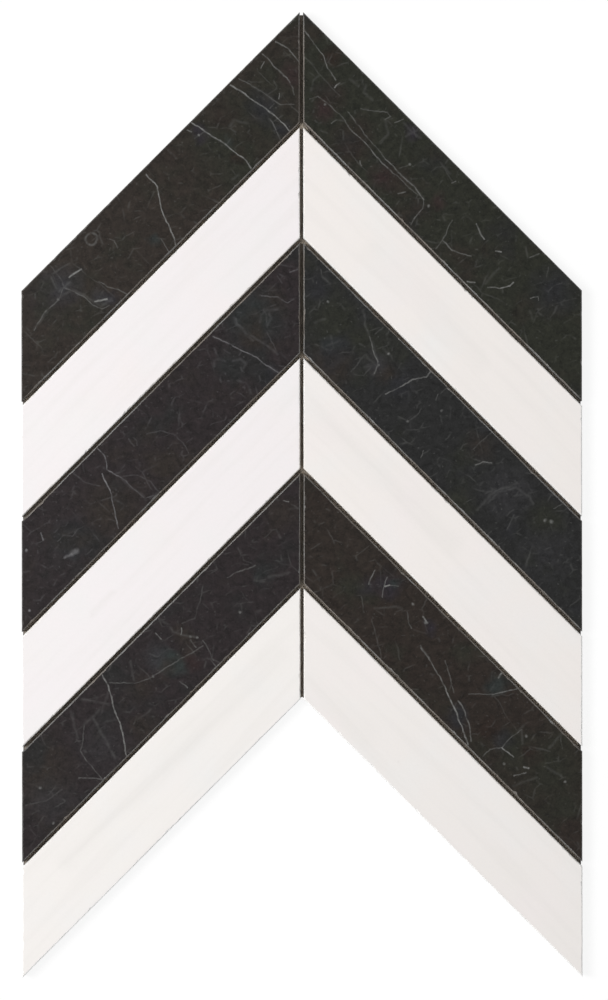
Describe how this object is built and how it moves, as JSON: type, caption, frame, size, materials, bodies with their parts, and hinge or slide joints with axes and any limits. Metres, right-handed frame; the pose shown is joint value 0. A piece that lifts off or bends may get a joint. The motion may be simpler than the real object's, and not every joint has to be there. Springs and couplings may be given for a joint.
{
  "type": "chevron mosaic wall tile sheet",
  "caption": "Chevron mosaic sheet of polished black and white marble strips in turn, mitred along its middle, with open joints, on a glass-fibre mounting net.",
  "frame": {"origin": "middle of the sheet's box, on the underside of the mounting net", "axes": "+X across the sheet to its right side, with the mitre line at X = 0; +Y towards the tip of the chevrons; +Z out of the polished faces"},
  "size_m": [0.251, 0.4324, 0.0093],
  "materials": {
    "black_marble": "polished",
    "white_marble": "polished",
    "adhesive": "matt",
    "glass_net": "matt"
  },
  "bodies": {
    "root": {"black_left_row1": "black_marble", "black_right_row1": "black_marble", "white_left_row2": "white_marble", "white_right_row2": "white_marble", "black_left_row3": "black_marble", "black_right_row3": "black_marble", "white_left_row4": "white_marble", "white_right_row4": "white_marble", "black_left_row5": "black_marble", "black_right_row5": "black_marble", "white_left_row6": "white_marble", "white_right_row6": "white_marble", "adhesive_film": "adhesive", "net_crosswise_strands": "glass_net", "net_lengthwise_strands": "glass_net"}
  },
  "joints": []
}
